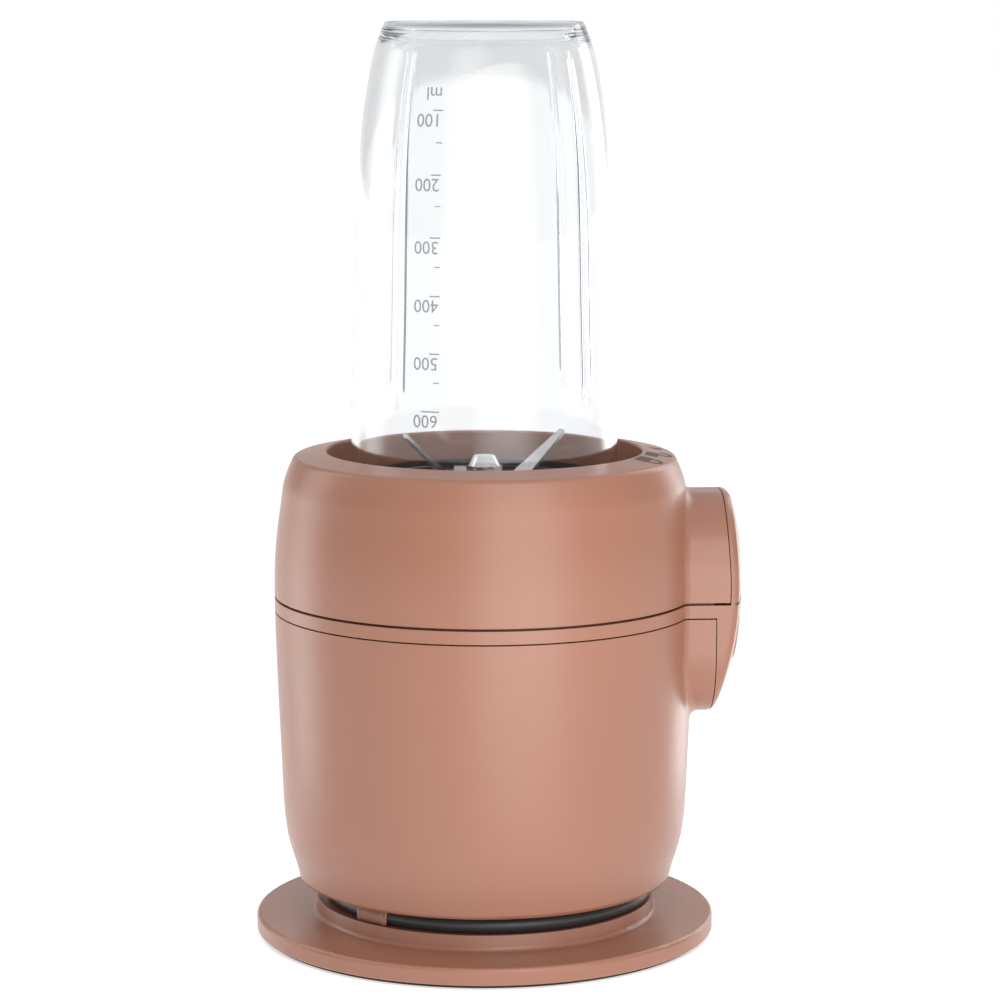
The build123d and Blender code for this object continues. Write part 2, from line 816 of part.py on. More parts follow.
# ---- cup: closed end on top, four long flutes ------------------------------------------------------
cup_side = ((35.9, 303.0), (38.4, 292.5), (40.7, 278.5), (43.1, 251.0), (44.3, 210.5), (45.2, 176.5))
cup_thread_radius = 45.6
flute_angles = (47, 137, 227, 317)


def cup_profile(inset, top):
    """Closed half section of the cup, moved inward by inset, up to the given top."""
    with BuildSketch(Plane.XZ) as result:
        with BuildLine():
            Line((0, cup_mouth), (cup_thread_radius - inset, cup_mouth))
            Line((cup_thread_radius - inset, cup_mouth), (cup_side[-1][0] - inset, cup_side[-1][1]))
            Spline(
                (cup_side[-1][0] - inset, cup_side[-1][1]),
                *[(r - inset, z) for r, z in reversed(cup_side[:-1])],
                (cup_end_radius - inset, top),
            )
            Polyline((cup_end_radius - inset, top), (0, top), (0, cup_mouth))
        make_face()
    return result.sketch


def flute_blocks(outline, half_width):
    """Four upright blocks of one outline, one at each flute."""
    with BuildPart() as result:
        for flute in flute_angles:
            with BuildSketch(Plane.XZ.rotated((0, 0, flute))):
                with BuildLine():
                    Polyline(*outline, close=True)
                make_face()
            extrude(amount=half_width, both=True)
    return result.part


groove_outline = (
    (60, 180),
    (43.4, 189),
    (42.4, 225),
    (41.2, 262),
    (39.7, 280),
    (37.7, 292.5),
    (35.4, 303),
    (60, 305),
)
rib_outline = ((44.6, 182), (40.9, 190), (39.8, 225), (38.3, 262), (36.6, 284), (34.6, 300), (44.6, 300))

with BuildPart() as hollow:
    add(cup_profile(cup_wall, cup_top - 3.2))
    revolve(axis=Axis.Z)
    fillet(hollow.edges().group_by(Axis.Z)[-1], 2.5)
    add(flute_blocks(rib_outline, 3.2), mode=Mode.SUBTRACT)

with BuildPart() as cup:
    add(cup_profile(0, cup_top))
    revolve(axis=Axis.Z)
    fillet(cup.edges().group_by(Axis.Z)[-1], 0.8)
    add(hollow.part, mode=Mode.SUBTRACT)
    add(flute_blocks(groove_outline, 1.5), mode=Mode.SUBTRACT)
    add(rod(cup_end_radius - 3, cup_top - 1.2, cup_top + 1, [(0, 0)]), mode=Mode.SUBTRACT)
    add(ring(cup_thread_radius - 1, cup_thread_radius + 1, 147.5, 149.5))
    add(ring(cup_thread_radius - 1, cup_thread_radius + 1, 152.5, 154.5))
save(cup.part, "cup")

# ---- mains lead: gland, coil in the groove, tail, plug ---------------------------------------------
with BuildPart() as cord_gland:
    with Locations((31.2, gland_y, pedestal_top)):
        Box(8, 7, 6.9, align=(Align.MIN, Align.MAX, Align.MIN))
    with BuildSketch(Plane(origin=(coil_start_radius, gland_y, cord_z), x_dir=(1, 0, 0), z_dir=(0, 1, 0))):
        Circle(2.85)
    extrude(amount=2)
save(cord_gland.part, "cord_gland")

coil_end_radius = coil_start_radius + coil_pitch * coil_turns
tail_route = [
    (*polar(coil_end_radius, (coil_angle,))[0], cord_z),
    (53.8, 20.5, 15.8),
    (51.5, 39.0, 13.6),
    (46.0, 57.0, 10.8),
    (35.5, 73.0, 10.2),
    (20.0, 84.5, 6.85),
    (3.0, 89.5, 6.85),
]


def corner_radii(points):
    """For each inner point, 0.45 of the shorter run over the tangent of half the turn."""
    radii = []
    for before, here, after in zip(points, points[1:], points[2:]):
        first = Vector(*here) - Vector(*before)
        second = Vector(*after) - Vector(*here)
        half_turn = math.radians(first.get_angle(second) / 2)
        radii.append(0.45 * min(first.length, second.length) / math.tan(half_turn))
    return radii


tail_radii = corner_radii(tail_route)
print("tail radii", [round(r, 1) for r in tail_radii])
with BuildPart() as cord_tail:
    with BuildLine() as tail_line:
        FilletPolyline(*tail_route, radius=tail_radii)
    with BuildSketch(Plane(origin=tail_line.line @ 0, z_dir=tail_line.line % 0)):
        Circle(cord_radius)
    sweep()
tail_length = sum(edge.length for edge in tail_line.edges())
print("tail volume", round(cord_tail.part.volume), round(math.pi * cord_radius**2 * tail_length))
coil_length = math.tau * coil_turns * (coil_start_radius + coil_end_radius) / 2
print("coil length", round(coil_length), "tail", round(tail_length))
save(cord_tail.part, "cord_tail")

clip_radius = coil_start_radius + coil_pitch * (coil_turns - 1 + (clip_angle - coil_angle) / 360)
clip_point = polar(clip_radius, (clip_angle,))[0]
outward = polar(1, (clip_angle,))[0]
clip_plane = Plane(origin=(*clip_point, cord_z), x_dir=(*outward, 0), z_dir=(outward[1], -outward[0], 0))
with BuildPart() as cord_clip:
    with BuildSketch(clip_plane):
        with BuildLine():
            top_arc = CenterArc((0, 0), 4.0, 0, 130)
            low_arc = CenterArc((0, 0), 3.2, 0, 130)
            Line(top_arc @ 1, low_arc @ 1)
            Polyline(top_arc @ 0, (4.0, -cord_radius + 0.35), (3.2, -cord_radius + 0.35), low_arc @ 0)
        make_face()
    extrude(amount=clip_half_length, both=True)
save(cord_clip.part, "cord_clip")

with BuildPart() as cord_coil:
    add(ring(spool_radius + 0.5, coil_end_radius + cord_radius, pedestal_top + 0.35, cord_z + cord_radius))
    with Locations((33, gland_y - 3.5, pedestal_top)):
        Box(13, 14, 8, align=(Align.CENTER, Align.CENTER, Align.MIN), mode=Mode.SUBTRACT)
    add(cord_tail.part, mode=Mode.SUBTRACT)
    with BuildSketch(clip_plane):
        with Locations((0.8, 0.4)):
            Rectangle(7.6, 8.0)
    extrude(amount=clip_half_length + 0.2, both=True, mode=Mode.SUBTRACT)
save(cord_coil.part, "cord_coil")

last_run = Vector(*tail_route[-1]) - Vector(*tail_route[-2])
plug_way = Vector(last_run.X, last_run.Y, 0).normalized()
plug_plane = Plane(origin=tail_route[-1], x_dir=plug_way.cross(Vector(0, 0, 1)), z_dir=plug_way)
with BuildPart() as plug:
    with BuildSketch(plug_plane):
        Circle(3.4)
    with BuildSketch(plug_plane.offset(13)):
        Circle(4.8)
    loft()
    with BuildSketch(plug_plane.offset(13)):
        RectangleRounded(14, 10, 3)
    with BuildSketch(plug_plane.offset(29)):
        RectangleRounded(35.3, 13.6, 4)
    loft()
    with BuildSketch(plug_plane.offset(29)):
        RectangleRounded(35.3, 13.6, 4)
    extrude(amount=18)
save(plug.part, "plug")

with BuildPart() as plug_pins:
    with BuildSketch(plug_plane.offset(47)):
        with Locations((-9.3, 0), (9.3, 0)):
            Circle(2.0)
    extrude(amount=19)
    tips = plug_pins.edges().filter_by(
        lambda e: abs((e.center() - plug_plane.origin).dot(plug_plane.z_dir) - 66) < 0.1
    )
    fillet(tips, 1.2)
save(plug_pins.part, "plug_pins")
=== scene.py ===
"""Looks of the cup blender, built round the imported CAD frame. Metres, +Z up, +X to the dial."""
import json
import math

import bmesh
import bpy
from mathutils import Matrix, Vector
from mathutils.bvhtree import BVHTree


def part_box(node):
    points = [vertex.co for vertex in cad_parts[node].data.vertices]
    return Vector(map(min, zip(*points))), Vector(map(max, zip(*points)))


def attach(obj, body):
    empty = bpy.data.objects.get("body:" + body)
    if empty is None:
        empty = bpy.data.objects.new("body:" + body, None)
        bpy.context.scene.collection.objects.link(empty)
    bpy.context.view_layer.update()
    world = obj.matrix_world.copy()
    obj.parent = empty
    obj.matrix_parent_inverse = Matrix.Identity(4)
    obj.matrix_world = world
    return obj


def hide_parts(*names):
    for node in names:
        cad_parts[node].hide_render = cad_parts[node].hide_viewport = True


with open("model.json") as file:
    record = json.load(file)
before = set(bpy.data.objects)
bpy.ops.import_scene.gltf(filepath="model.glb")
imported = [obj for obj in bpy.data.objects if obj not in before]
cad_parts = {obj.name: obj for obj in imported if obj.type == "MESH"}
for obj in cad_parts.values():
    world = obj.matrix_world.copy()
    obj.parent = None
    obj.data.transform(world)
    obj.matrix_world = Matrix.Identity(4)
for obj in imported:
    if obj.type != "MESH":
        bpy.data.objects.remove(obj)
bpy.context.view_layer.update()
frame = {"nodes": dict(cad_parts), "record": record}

scene = bpy.context.scene
nodes = frame["nodes"]
MM = 0.001


def link(name, data):
    """New object in the scene."""
    made = bpy.data.objects.new(name, data)
    scene.collection.objects.link(made)
    return made


# ---- camera -------------------------------------------------------------------------------------
CAMERA_AZIMUTH = math.radians(-3.3)
CAMERA_DISTANCE = 1.1456
CAMERA_HEIGHT = 0.3156
AIM_HEIGHT = 0.1489
AIM_RIGHT = 0.0053
SENSOR_WIDTH = 36
LENS_LENGTH = 122.5
NEAR_CLIP = 0.05
FAR_CLIP = 60

camera_data = bpy.data.cameras.new("camera")
camera_data.sensor_width = SENSOR_WIDTH
camera_data.lens = LENS_LENGTH
camera_data.clip_start = NEAR_CLIP
camera_data.clip_end = FAR_CLIP
camera = link("camera", camera_data)
camera_right = Vector((math.cos(CAMERA_AZIMUTH), math.sin(CAMERA_AZIMUTH), 0))
camera.location = (
    math.sin(CAMERA_AZIMUTH) * CAMERA_DISTANCE,
    -math.cos(CAMERA_AZIMUTH) * CAMERA_DISTANCE,
    CAMERA_HEIGHT,
)
aim = camera_right * AIM_RIGHT + Vector((0, 0, AIM_HEIGHT))
camera.rotation_mode = "QUATERNION"
camera.rotation_quaternion = (aim - camera.location).to_track_quat("-Z", "Y")
scene.camera = camera
scene.view_settings.view_transform = "Standard"
scene.view_settings.look = "None"


# ---- procedural materials -----------------------------------------------------------------------
# the Mix node's factor and colour sockets, which share their names with its other sockets
MIX_FACTOR, MIX_FIRST, MIX_SECOND, MIX_RESULT = 0, 6, 7, 2
COAT_ROUGHNESS = 0.25
BUMP_STRENGTH = 0.35


def node_of(tree, kind, **sockets):
    """New shader node with plain values on its named inputs."""
    made = tree.nodes.new(kind)
    for name, value in sockets.items():
        made.inputs[name.replace("_", " ")].default_value = value
    return made


def math_of(tree, operation, first, second):
    """Math node on two inputs, each of them a socket or a plain value."""
    made = tree.nodes.new("ShaderNodeMath")
    made.operation = operation
    for socket, value in zip(made.inputs, (first, second)):
        if isinstance(value, bpy.types.NodeSocket):
            tree.links.new(value, socket)
        else:
            socket.default_value = value
    return made.outputs["Value"]


def noise_of(tree, coords, scale, detail=3.0, roughness=0.55, stretch=None):
    """Noise in the frame's own coordinates, scale in cells a metre, stretched by a factor on each axis."""
    source = coords.outputs["Object"]
    if stretch is not None:
        mapping = node_of(tree, "ShaderNodeMapping")
        mapping.inputs["Scale"].default_value = stretch
        tree.links.new(source, mapping.inputs["Vector"])
        source = mapping.outputs["Vector"]
    noise = node_of(tree, "ShaderNodeTexNoise", Scale=scale, Detail=detail, Roughness=roughness)
    tree.links.new(source, noise.inputs["Vector"])
    return noise.outputs["Fac"]


def ranged(tree, source, low, high, spread=0.22):
    """Noise about its middle value, mapped to low..high."""
    mapped = node_of(tree, "ShaderNodeMapRange")
    mapped.inputs["From Min"].default_value = 0.5 - spread
    mapped.inputs["From Max"].default_value = 0.5 + spread
    mapped.inputs["To Min"].default_value = low
    mapped.inputs["To Max"].default_value = high
    tree.links.new(source, mapped.inputs["Value"])
    return mapped.outputs["Result"]


def surface(
    name, colour, rough, rough_spread=0.05, mottle=0.05, patch=30, grain=1800, depth=0.012,
    metallic=0.0, coat=0.0, specular=0.5, stretch=None,
):
    """Principled material: colour patches, roughness patches and a fine bump, all from noise nodes.
    patch and grain are the cells a metre of the patches and of the bump, and depth is in millimetres."""
    material = bpy.data.materials.new(name)
    material.use_nodes = True
    tree = material.node_tree
    shader = tree.nodes["Principled BSDF"]
    shader.inputs["Metallic"].default_value = metallic
    shader.inputs["Coat Weight"].default_value = coat
    shader.inputs["Coat Roughness"].default_value = COAT_ROUGHNESS
    shader.inputs["Specular IOR Level"].default_value = specular
    coords = tree.nodes.new("ShaderNodeTexCoord")

    blend = tree.nodes.new("ShaderNodeMix")
    blend.data_type = "RGBA"
    darker = [c * (1 - mottle) for c in colour]
    lighter = [min(1.0, c * (1 + mottle)) for c in colour]
    blend.inputs[MIX_FIRST].default_value = (*darker, 1)
    blend.inputs[MIX_SECOND].default_value = (*lighter, 1)
    patches = ranged(tree, noise_of(tree, coords, patch, 5.0, 0.6, stretch), 0, 1)
    tree.links.new(patches, blend.inputs[MIX_FACTOR])
    tree.links.new(blend.outputs[MIX_RESULT], shader.inputs["Base Color"])

    shine = noise_of(tree, coords, patch * 6, 4.0, 0.6, stretch)
    shine = ranged(tree, shine, rough - rough_spread, rough + rough_spread)
    tree.links.new(shine, shader.inputs["Roughness"])

    bump = node_of(tree, "ShaderNodeBump", Strength=BUMP_STRENGTH, Distance=depth * MM)
    tree.links.new(noise_of(tree, coords, grain, 3.0, 0.6, stretch), bump.inputs["Height"])
    tree.links.new(bump.outputs["Normal"], shader.inputs["Normal"])
    return material


CLEAR_TINT = (0.87, 0.875, 0.88)
CLEAR_BODY = (0.70, 0.735, 0.76, 1)
CLEAR_BODY_DENSITY = 45.0
CLEAR_SHADOW = (0.93, 0.93, 0.93, 1)
PLASTIC_IOR = 1.47
MOST_BOUNCES = 5.5


def clear_surface(name):
    """Clear moulded plastic: faint flow marks in its gloss, a slightly grey body and a pale shadow."""
    material = surface(name, CLEAR_TINT, 0.035, 0.02, 0.004, 40, 300, 0.006)
    tree = material.node_tree
    shader = tree.nodes["Principled BSDF"]
    shader.inputs["Transmission Weight"].default_value = 1.0
    shader.inputs["IOR"].default_value = PLASTIC_IOR
    volume = node_of(tree, "ShaderNodeVolumeAbsorption", Color=CLEAR_BODY, Density=CLEAR_BODY_DENSITY)
    output = tree.nodes["Material Output"]
    tree.links.new(volume.outputs["Volume"], output.inputs["Volume"])
    path = tree.nodes.new("ShaderNodeLightPath")
    clear = node_of(tree, "ShaderNodeBsdfTransparent", Color=CLEAR_SHADOW)
    mixed = tree.nodes.new("ShaderNodeMixShader")
    # light caught inside the wall leaves it after a few bounces
    caught = math_of(tree, "GREATER_THAN", path.outputs["Ray Depth"], MOST_BOUNCES)
    tree.links.new(math_of(tree, "MAXIMUM", path.outputs["Is Shadow Ray"], caught), mixed.inputs["Fac"])
    tree.links.new(shader.outputs["BSDF"], mixed.inputs[1])
    tree.links.new(clear.outputs["BSDF"], mixed.inputs[2])
    tree.links.new(mixed.outputs["Shader"], output.inputs["Surface"])
    return material


CLAY = (0.365, 0.160, 0.102)
looks = {
    "clay_plastic": surface("clay satin plastic", CLAY, 0.32, 0.03, 0.02, 22, 2600, 0.010, specular=0.65),
    "dark_plastic": surface(
        "dark moulded plastic", (0.030, 0.030, 0.032), 0.42, 0.06, 0.15, 60, 1500, 0.02
    ),
    "black_plastic": surface(
        "black moulded plastic", (0.016, 0.016, 0.017), 0.38, 0.06, 0.2, 60, 1500, 0.02
    ),
    "clear_plastic": clear_surface("clear moulded plastic"),
    "seal_silicone": surface("seal silicone", (0.52, 0.52, 0.50), 0.55, 0.08, 0.06, 50, 900, 0.02),
    "rubber_black": surface("foot rubber", (0.020, 0.019, 0.018), 0.78, 0.08, 0.25, 90, 1600, 0.04),
    "cord_black": surface(
        "cord sheath", (0.030, 0.032, 0.034), 0.36, 0.06, 0.18, 80, 1400, 0.03, specular=0.6
    ),
    "pin_brass": surface(
        "nickelled pin", (0.72, 0.70, 0.64), 0.24, 0.06, 0.06, 90, 2400, 0.01, metallic=1.0
    ),
    "screw_steel": surface(
        "screw steel", (0.46, 0.46, 0.47), 0.36, 0.08, 0.1, 200, 3000, 0.02, metallic=1.0
    ),
    "shaft_steel": surface(
        "turned steel", (0.56, 0.56, 0.57), 0.26, 0.08, 0.08, 60, 500, 0.02, metallic=1.0,
        stretch=(0.2, 0.2, 9),
    ),
    "blade_steel": surface(
        "ground blade steel", (0.62, 0.62, 0.63), 0.22, 0.08, 0.07, 40, 900, 0.02, metallic=1.0,
        stretch=(1, 8, 1),
    ),
    "bracket_steel": surface(
        "zinc sheet", (0.50, 0.51, 0.53), 0.38, 0.12, 0.14, 90, 900, 0.02, metallic=1.0
    ),
    "lamination_steel": surface(
        "stacked laminations", (0.27, 0.27, 0.28), 0.46, 0.1, 0.2, 60, 260, 0.12, metallic=0.9,
        stretch=(0.05, 0.05, 8),
    ),
    "copper_wire": surface(
        "enamelled copper", (0.55, 0.20, 0.08), 0.30, 0.08, 0.2, 160, 900, 0.25, metallic=0.85,
        stretch=(1, 1, 0.15),
    ),
    "bronze": surface(
        "sintered bronze", (0.45, 0.28, 0.13), 0.42, 0.1, 0.15, 240, 1800, 0.03, metallic=1.0
    ),
    "carbon": surface("brush carbon", (0.025, 0.024, 0.024), 0.52, 0.1, 0.3, 200, 2000, 0.04),
    "board_green": surface(
        "board lacquer", (0.020, 0.115, 0.045), 0.34, 0.08, 0.25, 120, 700, 0.02, coat=0.3
    ),
    "print_grey": surface(
        "pad print", (0.100, 0.088, 0.076), 0.55, 0.06, 0.12, 300, 2600, 0.01, specular=0.25
    ),
    "scale_print": surface("scale print", (0.30, 0.31, 0.32), 0.55, 0.06, 0.08, 400, 2600, 0.01),
}


def dress(obj, material):
    """Puts one material on every slot of an object."""
    if not obj.data.materials:
        obj.data.materials.append(material)
    for index in range(len(obj.data.materials)):
        obj.data.materials[index] = material


def shade_smooth(mesh):
    """Smooth shading on every face."""
    for face in mesh.polygons:
        face.use_smooth = True


def grid_mesh(name, rows, closed_rows=False, caps=False):
    """Mesh through rows of points, each row a ring. closed_rows joins the last ring to the first, and caps
    close the first and the last ring."""
    mesh = bpy.data.meshes.new(name)
    width = len(rows[0])
    points = [p for row in rows for p in row]
    faces = []
    for r in range(len(rows) if closed_rows else len(rows) - 1):
        after = (r + 1) % len(rows)
        for c in range(width):
            beside = (c + 1) % width
            faces.append((r * width + c, r * width + beside, after * width + beside, after * width + c))
    if caps:
        faces.append(tuple(reversed(range(width))))
        faces.append(tuple((len(rows) - 1) * width + c for c in range(width)))
    mesh.from_pydata([tuple(p) for p in points], [], faces)
    mesh.update()
    work = bmesh.new()
    work.from_mesh(mesh)
    bmesh.ops.recalc_face_normals(work, faces=work.faces)
    work.to_mesh(mesh)
    work.free()
    shade_smooth(mesh)
    return mesh


# ---- mains lead: coil in the groove under the body, short tail, plug behind -----------------------
CORD_RADIUS = 2.9 * MM
COIL_HEIGHT = 14.9 * MM
COIL_START = 36.4 * MM
COIL_PITCH = 6.3 * MM
COIL_TURNS = 3
COIL_ANGLE = math.radians(5)
POINTS_A_TURN = 16
FIRST_LEAD = Vector((-0.3, 5.4, 0)) * MM

# the curve touches the middles of its control polygon's sides, so the corners stand further out
pull_in = math.cos(math.pi / POINTS_A_TURN)
cord_exit = Vector((COIL_START * math.cos(COIL_ANGLE), COIL_START * math.sin(COIL_ANGLE), COIL_HEIGHT))
route = [cord_exit, cord_exit + FIRST_LEAD]
for step in range(1, COIL_TURNS * POINTS_A_TURN):
    turn = step / POINTS_A_TURN
    reach = (COIL_START + COIL_PITCH * turn) / pull_in
    angle = COIL_ANGLE + math.tau * turn
    route.append(Vector((reach * math.cos(angle), reach * math.sin(angle), COIL_HEIGHT)))
TAIL = (
    (55.09, 4.82, 14.9),
    (53.8, 20.5, 15.8),
    (51.5, 39.0, 13.6),
    (46.0, 57.0, 10.8),
    (35.5, 73.0, 10.2),
    (20.0, 84.5, 6.85),
    (3.0, 89.5, 6.85),
)
route += [Vector(p) * MM for p in TAIL]

cord_data = bpy.data.curves.new("cord", "CURVE")
cord_data.dimensions = "3D"
cord_data.bevel_depth = CORD_RADIUS
cord_data.bevel_resolution = 6
cord_data.resolution_u = 8
cord_data.use_fill_caps = True
spline = cord_data.splines.new("NURBS")
spline.points.add(len(route) - 1)
for control, place in zip(spline.points, route):
    control.co = (*place, 1)
spline.order_u = 3
spline.use_endpoint_u = True
spline.use_smooth = True
cord = link("mains_cord", cord_data)
dress(cord, looks["cord_black"])
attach(cord, "base")
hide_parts("cord_coil", "cord_tail")


def centreline():
    """Points read from the cord's own spline, with no bevel."""
    bare = cord_data.copy()
    bare.bevel_depth = 0
    holder = link("centreline", bare)
    bpy.context.view_layer.update()
    mesh = bpy.data.meshes.new_from_object(holder)
    points = [v.co.copy() for v in mesh.vertices]
    bpy.data.objects.remove(holder)
    bpy.data.meshes.remove(mesh)
    bpy.data.curves.remove(bare)
    return points


cord_line = centreline()


def along(points, distance):
    """Point and direction at a distance along a line of points."""
    for a, b in zip(points, points[1:]):
        run = (b - a).length
        if distance <= run:
            return a.lerp(b, distance / run), (b - a).normalized()
        distance -= run
    return points[-1], (points[-1] - points[-2]).normalized()


def ring_at(centre, heading, half_width, half_height, power=2.0, count=40):
    """Rounded ring of points square to a heading: a circle at power 2, squarer above."""
    side = heading.cross(Vector((0, 0, 1))).normalized()
    up = side.cross(heading).normalized()
    points = []
    for k in range(count):
        a = math.tau * k / count
        c, s = math.cos(a), math.sin(a)
        x = math.copysign(abs(c) ** (2 / power), c) * half_width
        y = math.copysign(abs(s) ** (2 / power), s) * half_height
        points.append(centre + side * x + up * y)
    return points


def smooth_step(low, high, value):
    """Smooth rise from 0 at low to 1 at high."""
    t = max(0.0, min(1.0, (value - low) / (high - low)))
    return t * t * (3 - 2 * t)


# tapered strain relief over the cord's first stretch, with four grooves
RELIEF_LENGTH = 24 * MM
RELIEF_RADIUS = 3.34
RELIEF_TAPER = 0.36
RELIEF_GROOVE = 0.16
RELIEF_TIP = 0.25
RELIEF_STEPS = 96

relief_rows = []
for step in range(RELIEF_STEPS + 1):
    share = step / RELIEF_STEPS
    centre, heading = along(cord_line, share * RELIEF_LENGTH)
    groove = RELIEF_GROOVE * max(0.0, math.cos(share * math.tau * 5)) ** 6 if 0.08 < share < 0.92 else 0
    tip = RELIEF_TIP * smooth_step(0.97, 1.0, share)
    relief_radius = (RELIEF_RADIUS - RELIEF_TAPER * share - groove - tip) * MM
    relief_rows.append(ring_at(centre, heading, relief_radius, relief_radius))
relief = link("cord_relief", grid_mesh("cord_relief", relief_rows, caps=True))
dress(relief, looks["cord_black"])
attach(relief, "base")

# two-pin plug: ribbed sleeve and flat tapering body with finger grooves. Its pins are the CAD's own.
plug_start = route[-1]
plug_run = route[-1] - route[-2]
plug_way = Vector((plug_run.x, plug_run.y, 0)).normalized()
SLEEVE_END = 13
SLEEVE_RADII = (3.35, 4.7)
RIB_DEPTH = 0.42
RIB_PITCH = 2.6
BODY_WIDE = 29
BODY_END = 47
BODY_HALF_WIDTH = 17.6
BODY_HALF_HEIGHT = 6.75
BODY_SQUARENESS = 3.8
GRIP_GROOVES = (33, 36, 39, 42)
GRIP_DEPTH = 0.45
GRIP_HALF_WIDTH = 0.8
FRONT_ROUND = 1.5
PLUG_RING_POINTS = 72


def plug_section(t):
    """Half width, half height and squareness of the plug at t millimetres from the cord's end."""
    thin, thick = SLEEVE_RADII
    if t <= SLEEVE_END:
        radius = thin + (thick - thin) * t / SLEEVE_END
        if RIB_PITCH / 2 < t < SLEEVE_END - 1:
            radius -= RIB_DEPTH * (0.5 + 0.5 * math.cos(math.tau * t / RIB_PITCH)) ** 3
        return radius, radius, 2.0
    share = smooth_step(SLEEVE_END, BODY_WIDE, t)
    half_width = thick + (BODY_HALF_WIDTH - thick) * share
    half_height = thick + (BODY_HALF_HEIGHT - thick) * smooth_step(SLEEVE_END, BODY_WIDE - 4, t)
    for middle in GRIP_GROOVES:
        half_height -= GRIP_DEPTH * math.exp(-(((t - middle) / GRIP_HALF_WIDTH) ** 2))
    into_front = max(0.0, t - (BODY_END - FRONT_ROUND)) / FRONT_ROUND
    front = FRONT_ROUND * (1 - math.sqrt(max(0.0, 1 - into_front**2)))
    return half_width - front, half_height - front, 2.0 + (BODY_SQUARENESS - 2.0) * share


plug_rows = []
plug_steps = [0.25 * k for k in range(4 * BODY_END - 6)]
plug_steps += [BODY_END - back for back in (1.5, 1.2, 0.9, 0.6, 0.3, 0.1, 0.0)]
for t in plug_steps:
    half_width, half_height, power = plug_section(t)
    plug_rows.append(
        ring_at(
            plug_start + plug_way * t * MM, plug_way, half_width * MM, half_height * MM, power,
            PLUG_RING_POINTS,
        )
    )
plug = link("mains_plug", grid_mesh("mains_plug", plug_rows, caps=True))
dress(plug, looks["cord_black"])
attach(plug, "base")
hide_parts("plug")

# clip that holds the lead's outer turn: a saddle with a raised rib at each end
CLIP_ANGLE = math.radians(224.1)
CLIP_HALF = 6.5 * MM
CLIP_STEPS = 28
CLIP_INNER = 3.15
CLIP_OUTER = 3.62
CLIP_RIB = 0.32
CLIP_CHAMFER = 0.3
CLIP_SKIRT = 1.2

clip_turn = COIL_TURNS - 1 + (CLIP_ANGLE - COIL_ANGLE) / math.tau
clip_reach = COIL_START + COIL_PITCH * clip_turn
clip_foot = 0.4 - CORD_RADIUS / MM


def arc(radius, degrees):
    """Points round the cord's middle at a radius, one for each angle."""
    return [(radius * math.cos(math.radians(a)), radius * math.sin(math.radians(a))) for a in degrees]


clip_rows = []
for step in range(CLIP_STEPS + 1):
    share = step / CLIP_STEPS
    turn_angle = CLIP_ANGLE + (2 * share - 1) * CLIP_HALF / clip_reach
    outward = Vector((math.cos(turn_angle), math.sin(turn_angle), 0))
    middle = outward * clip_reach + Vector((0, 0, COIL_HEIGHT))
    from_end = min(share, 1 - share)
    rib = CLIP_RIB * math.exp(-(((from_end - 0.09) / 0.055) ** 2))
    outer = CLIP_OUTER + rib - CLIP_CHAMFER * (1 - smooth_step(0.0, 0.05, from_end))
    profile = [(CLIP_INNER, clip_foot), *arc(CLIP_INNER, range(0, 131, 10))]
    profile += [*arc(outer, range(130, -1, -10)), (outer, -CLIP_SKIRT), (outer, clip_foot)]
    clip_rows.append([middle + outward * x * MM + Vector((0, 0, y * MM)) for x, y in profile])
clip = link("cord_saddle", grid_mesh("cord_saddle", clip_rows, caps=True))
dress(clip, looks["clay_plastic"])
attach(clip, "base")
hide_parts("cord_clip")

# ---- clear cup ----------------------------------------------------------------------------------
# millimetres, from the mouth in the collar up to the closed end
cup_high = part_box("cup")[1]
CUP_MOUTH = 145.0
CUP_SIDE = (
    (45.45, 145.4), (45.6, 146.0), (45.5, 158.0), (45.2, 176.5), (44.3, 210.5), (43.1, 251.0),
    (40.7, 278.5), (38.4, 292.5), (35.9, 303.0),
)
SIDE_START = CUP_SIDE[0][1]
MOUTH_BEVEL = 0.35
CUP_TOP = cup_high.z / MM
CUP_EDGE = 33.1
CUP_WALL = 2.4
ROUNDING_START = 308.9
RECESS_RADIUS = 30.1
RECESS_DEPTH = 1.2
END_THICK = 2.8
FLUTES = tuple(math.radians(a) for a in (47, 137, 227, 317))
FLUTE_DEPTH = 0.75
FLUTE_HALF_OUTSIDE = 2.3
FLUTE_HALF_INSIDE = 2.9
THREAD_STARTS = (148.4, 153.4)
THREAD_PITCH = 3.0
THREAD_HALF = 1.1
THREAD_HEIGHT = 0.95


def natural(points):
    """Natural cubic spline through (radius, height) points: radius as a function of height."""
    heights = [z for _, z in points]
    radii = [r for r, _ in points]
    count = len(points)
    bend = [0.0] * count
    work = [0.0] * count
    for i in range(1, count - 1):
        before, after = heights[i] - heights[i - 1], heights[i + 1] - heights[i]
        share = before / (before + after)
        pivot = share * bend[i - 1] + 2
        bend[i] = (share - 1) / pivot
        slope = (radii[i + 1] - radii[i]) / after - (radii[i] - radii[i - 1]) / before
        work[i] = (6 * slope / (before + after) - share * work[i - 1]) / pivot
    for i in range(count - 2, -1, -1):
        bend[i] = bend[i] * bend[i + 1] + work[i]

    def radius_at(z):
        i = max(k for k in range(count - 1) if heights[k] <= z or k == 0)
        gap = heights[i + 1] - heights[i]
        a, b = (heights[i + 1] - z) / gap, (z - heights[i]) / gap
        bow = ((a**3 - a) * bend[i] + (b**3 - b) * bend[i + 1]) * gap**2 / 6
        return a * radii[i] + b * radii[i + 1] + bow

    return radius_at


cup_radius = natural((*CUP_SIDE, (CUP_EDGE, CUP_TOP)))


